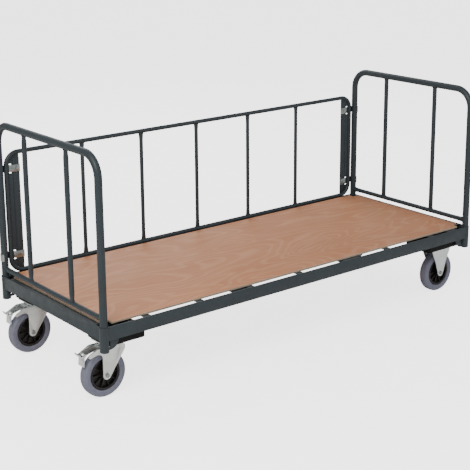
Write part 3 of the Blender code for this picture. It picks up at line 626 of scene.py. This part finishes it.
def corner_sleeve(corner):
    """Cup for a post: rounded foot, straight wall, and a rolled lip at the rail's top."""
    node = "corner_sleeve_" + corner
    low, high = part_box(node)
    height, lip = high.z - low.z, (SLEEVE_LIP - SLEEVE_BORE) / 2
    profile = [(AXIS_HOLE, 0)]
    profile += arc_points((SLEEVE_RADIUS - FOOT_ROUNDING, FOOT_ROUNDING), FOOT_ROUNDING, -90, 0, 6)
    profile += [(SLEEVE_RADIUS, height - LIP_FOOT)]
    profile += arc_points((SLEEVE_LIP - lip, height - lip), lip, -50, 180, 12)
    profile += [(SLEEVE_BORE, SLEEVE_FLOOR), (AXIS_HOLE, SLEEVE_FLOOR)]
    centre = ((low.x + high.x) / 2, (low.y + high.y) / 2, low.z)
    finish("post_sleeve_" + corner, [turned(profile, centre, "Z", COARSE_TURN)], frame_paint, "chassis",
           "frame_paint", node)


for corner in CORNERS:
    corner_sleeve(corner)

# %% [markdown]
# ## Tyres
# The tyre's section is drawn as a workshop would: a flat bead at the rim, a bulging flank with a fine raised
# line, a round shoulder and a lightly crowned tread. Half of it is drawn and then mirrored.

# %% Tyres
TYRE_INNER = 0.0700
SHOULDER = 0.0100
BEAD_HALF = 0.0190
BULGE_RATE, BULGE_POWER = 1.6, 0.6       # how soon the flank reaches full width, and how roundly
LINE_RADIUS, LINE_HEIGHT, LINE_WIDTH = 0.0820, 0.0008, 0.0007
CROWN_DROP = 0.0008


def tyre_profile(outer, half):
    """Half section from bead to crown, mirrored: flank y = bead + bulge * (rate * t) ^ power, then an arc,
    then a crown that drops with the square of the distance from the middle. The raised line is a narrow
    bell curve, and beyond the flank's middle the rubber lies lower by the line's height."""
    r = np.linspace(TYRE_INNER, outer - SHOULDER, 16)
    t = (r - r[0]) / (r[-1] - r[0])
    y = BEAD_HALF + (half - BEAD_HALF) * np.clip(t * BULGE_RATE, 0, 1) ** BULGE_POWER
    y = y + LINE_HEIGHT * np.exp(-((r - LINE_RADIUS) / LINE_WIDTH) ** 2)
    flank = np.stack([r, y - LINE_HEIGHT * (t > 0.5)], -1).tolist()
    tread_half = half - SHOULDER - LINE_HEIGHT
    shoulder = arc_points((outer - SHOULDER - CROWN_DROP, tread_half), SHOULDER, 80, 12, 9)
    w = np.linspace(tread_half, 0, 6)
    crown = np.stack([outer - CROWN_DROP * (w / w[0]) ** 2, w], -1).tolist()
    side = flank + shoulder + crown
    return side + [(radius, -y) for radius, y in side[-2::-1]]


for corner in CORNERS:
    low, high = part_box("tyre_" + corner)
    section = tyre_profile((high.z - low.z) / 2, (high.y - low.y) / 2)
    finish("rubber_tyre_" + corner, [turned(section, (low + high) / 2, "Y", FINE_TURN)], rubber,
           "wheel_" + corner, "grey_tyre", "tyre_" + corner)

# %% [markdown]
# ## Wheel centres
# The wheel centre is an open moulding: a hub, a thin web, a rim with two rounded lips that hold the tyre's
# bead, and ribs on both faces that stiffen the web.

# %% Wheel centres
HUB_BORE, HUB_RADIUS, HUB_EDGE = 0.0063, 0.021, 0.001
HUB_DRAFT = 0.0012           # the hub's side leans out by this much, to leave the mould
WEB_HALF = 0.0055
RIM_FLOOR, RIM_WALL = 0.0560, (0.0585, 0.0165)     # pairs are (radius, height)
INNER_LIP, INNER_ROUNDING = (0.0608, 0.0172), 0.0022
OUTER_LIP, OUTER_ROUNDING = (0.0662, 0.0180), 0.0016
RIM_EDGE = (0.0692, 0.0150)
RIB_COUNT = 10
RIB_END, RIB_HALF_DEPTH, RIB_HALF_WIDTH = 0.0590, 0.0155, 0.0014


def wheel_profile(half):
    """Hub, web and rim as one closed section, with rounded lips."""
    side = [(HUB_BORE, half), (HUB_RADIUS - HUB_EDGE, half), (HUB_RADIUS, half - HUB_EDGE)]
    side += [(HUB_RADIUS + HUB_DRAFT, WEB_HALF), (RIM_FLOOR, WEB_HALF), RIM_WALL]
    side += arc_points(INNER_LIP, INNER_ROUNDING, 170, 90, 4)
    side += arc_points(OUTER_LIP, OUTER_ROUNDING, 90, 20, 4)
    side += [RIM_EDGE]
    return side + [(radius, -y) for radius, y in side[::-1]]


def slab(low, high):
    """Points and faces of a plain block."""
    low, high = np.array(low, float), np.array(high, float)
    pick = np.array([(0, 0, 0), (1, 0, 0), (1, 1, 0), (0, 1, 0), (0, 0, 1), (1, 0, 1), (1, 1, 1), (0, 1, 1)])
    faces = [[3, 2, 1, 0], [4, 5, 6, 7], [0, 1, 5, 4], [1, 2, 6, 5], [2, 3, 7, 6], [3, 0, 4, 7]]
    return low + pick * (high - low), faces


def turned_about_y(part, angle, centre):
    """A (points, faces) pair turned about Y by an angle and moved to a centre."""
    points, faces = part
    c, s = np.cos(angle), np.sin(angle)
    turn = np.array([[c, 0, s], [0, 1, 0], [-s, 0, c]])
    return points @ turn.T + np.array(centre, float), faces


rib = slab((HUB_RADIUS - HUB_EDGE, -RIB_HALF_DEPTH, -RIB_HALF_WIDTH),
           (RIB_END, RIB_HALF_DEPTH, RIB_HALF_WIDTH))
for corner in CORNERS:
    low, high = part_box("wheel_rim_" + corner)
    centre = (low + high) / 2
    parts = [turned(wheel_profile((high.y - low.y) / 2), centre, "Y", FINE_TURN)]
    parts += [turned_about_y(rib, angle, centre) for angle in circle(RIB_COUNT)]
    finish("wheel_centre_" + corner, parts, plastic, "wheel_" + corner, "rim_plastic", "wheel_rim_" + corner)

# %% [markdown]
# ## Axle bolts
# A hexagon head is a ring whose radius is the apothem divided by the cosine of the angle from the middle of
# a flat. The maker chamfers it on a lathe, so the corners are cut lower than the flats: the top edge sits
# lower the further out the ring reaches. The same function makes heads and nuts.

# %% Hexagon heads
ROUND_POINTS = 48            # a multiple of twelve, so that every corner falls on a point
POLE = 1e-5                  # radius of the last ring, which closes a cap
CHAMFER_START = 0.95         # part of the apothem where the lathe's cone begins
CHAMFER_ANGLE = 28           # degrees
CAP_RING = 0.55              # a ring inside the cap, as part of the cone's start
SOFT_PART = 0.3              # rounding of a washer's edge, as part of its height


def along_y(radii, levels, a, centre, way):
    """Rings of given radii and levels, laid along +Y or -Y from a centre."""
    x, z = radii * np.cos(a), -radii * np.sin(a) * way
    return shell(np.stack([x, levels * way, z], -1) + np.array(centre, float))


def hexagon_head(across_flats, height, centre, way):
    """A chamfered hexagon of the given height that stands on `centre` and points along +Y or -Y."""
    a = circle(ROUND_POINTS)
    apothem = across_flats / 2
    edge = apothem / np.cos((a + np.pi / 6) % (np.pi / 3) - np.pi / 6)
    cone = apothem * CHAMFER_START
    drop = (edge - cone) * np.tan(np.radians(CHAMFER_ANGLE))
    flat = np.ones_like(a)
    radii = np.stack([edge, edge, cone * flat, cone * CAP_RING * flat, POLE * flat])
    levels = np.stack([0 * flat, height - drop, height * flat, height * flat, height * flat])
    return along_y(radii, levels, a, centre, way)


def disc(radius, height, centre, way):
    """A flat washer or a bar end with a small rounded edge."""
    a = circle(ROUND_POINTS)
    soft = min(height, radius) * SOFT_PART
    profile = np.array([(radius, 0), (radius, height - soft), (radius - soft * 0.4, height - soft * 0.3),
                        (radius - soft, height), (POLE, height)])
    radii = profile[:, 0][:, None] * np.ones_like(a)
    levels = profile[:, 1][:, None] * np.ones_like(a)
    return along_y(radii, levels, a, centre, way)


print("a hexagon's corner stands", round(1 / np.cos(np.pi / 6), 3), "times as far out as its flat")

# %% [markdown]
# Each axle is a bolt through both legs of the fork: head and washer on one side, nut and washer on the other.
# The head starts inside the washer, so that no slit shows between them. At the left end the fork swivels, so
# its axle rides on the swivel and not on the chassis.

# %% Axle bolts
LEG_FACE = 0.0353            # from the wheel's middle to just outside a fork leg
WASHER_RADIUS, WASHER_HEIGHT = 0.0095, 0.0013
BOLT_FLATS, BOLT_HEAD, BOLT_RADIUS = 0.0155, 0.0052, 0.0056
HEAD_START = 0.0008


def fork_body(corner):
    """The moving body of a corner's fork."""
    return "swivel_" + corner if corner.startswith("left") else "chassis"


def axle_bolt(corner):
    """Bolt head and washer on one side of the fork, nut and washer on the other, and the bar between."""
    low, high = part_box("axle_" + corner)
    middle = (low.y + high.y) / 2
    x, z = (low.x + high.x) / 2, (low.z + high.z) / 2
    parts = []
    for way in (-1, 1):
        y = middle + way * LEG_FACE
        parts.append(disc(WASHER_RADIUS, WASHER_HEIGHT, (x, y, z), way))
        parts.append(hexagon_head(BOLT_FLATS, BOLT_HEAD, (x, y + way * HEAD_START, z), way))
    parts.append(disc(BOLT_RADIUS, 2 * LEG_FACE, (x, middle - LEG_FACE, z), 1))
    finish("axle_bolt_" + corner, parts, bolt_zinc, fork_body(corner), "zinc_steel", "axle_" + corner)


for corner in CORNERS:
    axle_bolt(corner)

# %% [markdown]
# ## Bearing covers
# A swivel head turns on two rings of balls under a pressed cover. The cover is one turned sheet: a rounded
# skirt below, a sloping shoulder, and a narrow neck just under the mounting plate.

# %% Bearing covers
COVER_FOOT = 0.2150          # heights are above the floor
COVER_BORE, COVER_BORE_TOP = 0.0300, 0.2322
NECK, NECK_ROUNDING = (0.0345, 0.2316), 0.0008
SHOULDER_POINT = (0.0376, 0.2246)
SKIRT, SKIRT_ROUNDING = (0.0392, 0.2208), 0.0018


def bearing_cover(corner):
    """Cover of a swivel head: bore, rounded neck, sloping shoulder and rounded skirt."""
    low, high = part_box("castor_plate_" + corner)
    centre = ((low.x + high.x) / 2, (low.y + high.y) / 2, 0)
    profile = [(COVER_BORE, COVER_FOOT), (COVER_BORE, COVER_BORE_TOP)]
    profile += arc_points(NECK, NECK_ROUNDING, 90, 10, 4) + [SHOULDER_POINT]
    profile += arc_points(SKIRT, SKIRT_ROUNDING, 70, 0, 5) + [(SKIRT[0] + SKIRT_ROUNDING, COVER_FOOT)]
    finish("race_ring_" + corner, [turned(profile[::-1], centre, "Z", FINE_TURN)], zinc, fork_body(corner),
           "zinc_steel")


for corner in ("left_front", "left_rear"):
    bearing_cover(corner)

# %% [markdown]
# ## Pressed and cut plates
# Rails, beams, forks, plates, clamps and pedals keep their CAD shape. Only their edges are wrong: a sheared
# or folded edge is never razor sharp, and the eye finds it by its thin highlight. So a copy of each is
# merged, its flat faces are joined up again, and a narrow Bevel rounds every real edge. Thin pressed sheet
# has curves of many small faces, so there only angles over 40 degrees count as edges.

# %% Softened copies
MERGE_WITHIN = 1e-5
FLAT_WITHIN = 1.0            # degrees
PLATE_EDGE, SHEET_EDGE = 28, 40          # degrees; the least angle that is rounded


def softened(node, name, material, body, width, segments=2, angle=SHEET_EDGE):
    """A merged copy of a CAD node with narrow rounded edges."""
    made = bpy.data.objects.new(name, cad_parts[node].data.copy())
    bpy.context.scene.collection.objects.link(made)
    bpy.context.view_layer.objects.active = made
    made.data.materials.clear()
    made.data.materials.append(material)
    made.data.shade_smooth()
    weld = made.modifiers.new("weld", "WELD")
    weld.merge_threshold = MERGE_WITHIN
    planar = made.modifiers.new("planar", "DECIMATE")
    planar.decimate_type = "DISSOLVE"
    planar.angle_limit = np.radians(FLAT_WITHIN)
    bevel = made.modifiers.new("bevel", "BEVEL")
    bevel.width = width
    bevel.segments = segments
    bevel.limit_method = "ANGLE"
    bevel.angle_limit = np.radians(angle)
    bevel.harden_normals = True
    graph = bpy.context.evaluated_depsgraph_get()
    solved = bpy.data.meshes.new_from_object(made.evaluated_get(graph))
    made.modifiers.clear()
    made.data = solved
    solved.name = name
    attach(made, body)
    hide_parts(node)
    print(name, "has", len(solved.polygons), "faces")


# %% [markdown]
# ## The frame, the deck and the back panel's fittings
# Rails and beams are rolled steel, with edges rounded by about 0.8 mm. The board's arrises are broken with
# sandpaper, and the folded and pressed sheet of strips and clamps keeps the sharpest edges.

# %% Frame, deck and clamps
FRAME_NODES = ("front_rail", "rear_rail", "left_end_rail", "right_end_rail", "left_castor_beam",
               "right_castor_beam", "cross_member_1", "cross_member_2")
for node in FRAME_NODES:
    softened(node, "painted_" + node, frame_paint, "chassis", 0.8 * MM, angle=PLATE_EDGE)
for side in ("left", "right"):
    softened("back_panel_strip_" + side, "folded_strip_" + side, frame_paint, "superstructure",
             0.5 * MM, angle=PLATE_EDGE)
    for level in ("lower", "upper"):
        softened("clamp_%s_%s" % (side, level), "strap_clamp_%s_%s" % (side, level), bolt_zinc,
                 "superstructure", 0.4 * MM)
softened("deck_board", "plywood_deck", birch, "chassis", 0.7 * MM, angle=PLATE_EDGE)

# %% [markdown]
# ## Castors
# Every castor has a painted pad and a pressed fork. Only the swivelling pair has a plate, a king pin and a
# brake pedal of its own, and the pedal moves on its own pin.

# %% Castor plates, forks and pedals
for corner in CORNERS:
    softened("castor_pad_" + corner, "pad_block_" + corner, pad_paint, "chassis", 1.5 * MM,
             segments=3, angle=PLATE_EDGE)
    softened("castor_fork_" + corner, "pressed_fork_" + corner, zinc, fork_body(corner),
             1.0 * MM)
    if corner.startswith("left"):
        softened("castor_plate_" + corner, "swivel_plate_" + corner, zinc, "chassis", 0.6 * MM)
        softened("kingpin_" + corner, "king_bolt_" + corner, zinc, "chassis", 0.5 * MM)
        softened("brake_pedal_" + corner, "foot_pedal_" + corner, zinc, "pedal_" + corner,
                 0.6 * MM)

# %% [markdown]
# ## Studio
# A product table: a pale sweep of floor, a large soft light from the upper left, a weaker one from the right,
# and one behind that draws a bright line along the tubes. Area lights give the long soft highlights that show
# tubes as round. The paper and the surround are brighter to the camera than they are to the trolley, so the
# picture stays pale while the shadows keep their depth.

# %% Floor and surround
FLOOR_THICKNESS = 0.02
FLOOR_GAP = 0.0003           # the paper lies this far under the tyres


def floor(size, code, glow):
    """White paper: the camera sees it with some light of its own, as if it were lit from below."""
    made = mesh_object("studio_floor", *slab((-size, -size, -FLOOR_THICKNESS), (size, size, -FLOOR_GAP)))
    paper, tree, shader = start_material("studio_paper", 0.9)
    place = add(tree, "ShaderNodeTexCoord").outputs["Object"]
    grain = add(tree, "ShaderNodeTexNoise", {"Vector": place, "Scale": per_metre(400), "Detail": 1.0})
    shade = add(tree, "ShaderNodeMix", {"Factor": grain.outputs["Fac"], "A": colour(code),
                                        "B": colour("#ffffff")}, data_type="RGBA")
    seen = add(tree, "ShaderNodeLightPath").outputs["Is Camera Ray"]
    strength = add(tree, "ShaderNodeMath", {0: seen, 1: glow}, operation="MULTIPLY")
    shader.inputs["Emission Color"].default_value = colour("#ffffff")
    tree.links.new(shade.outputs["Result"], shader.inputs["Base Color"])
    tree.links.new(strength.outputs[0], shader.inputs["Emission Strength"])
    made.data.materials.append(paper)


def surround(lit, seen):
    """A plain white surround that lights with one strength and is seen by the camera with another."""
    world = bpy.data.worlds.new("studio_surround")
    world.use_nodes = True
    tree = world.node_tree
    camera_ray = add(tree, "ShaderNodeLightPath").outputs["Is Camera Ray"]
    strength = add(tree, "ShaderNodeMapRange", {"Value": camera_ray, "To Min": lit, "To Max": seen})
    background = tree.nodes["Background"]
    background.inputs["Color"].default_value = colour("#ffffff")
    tree.links.new(strength.outputs["Result"], background.inputs["Strength"])
    bpy.context.scene.world = world


floor(30.0, "#f4f4f2", 2.6)
surround(0.50, 3.4)
print("surround:", bpy.context.scene.world.name)

# %% Lights
def area_light(name, place, target, size, power, code="#ffffff"):
    """A square soft light of the given size in metres, which looks from its place at the target."""
    data = bpy.data.lights.new(name, "AREA")
    data.shape = "SQUARE"
    data.size = size
    data.energy = power
    data.color = colour(code)[:3]
    made = bpy.data.objects.new(name, data)
    bpy.context.scene.collection.objects.link(made)
    made.location = place
    made.rotation_euler = (Vector(target) - Vector(place)).to_track_quat("-Z", "Y").to_euler()


area_light("key_light", (-3.6, -2.2, 4.2), (0, 0, 0.4), 2.4, 200, "#fffaf2")
area_light("fill_light", (3.8, -4.6, 3.0), (0, 0, 0.4), 3.0, 40, "#f2f6ff")
area_light("back_light", (1.5, 4.5, 4.0), (0, 0, 0.5), 3.0, 80)
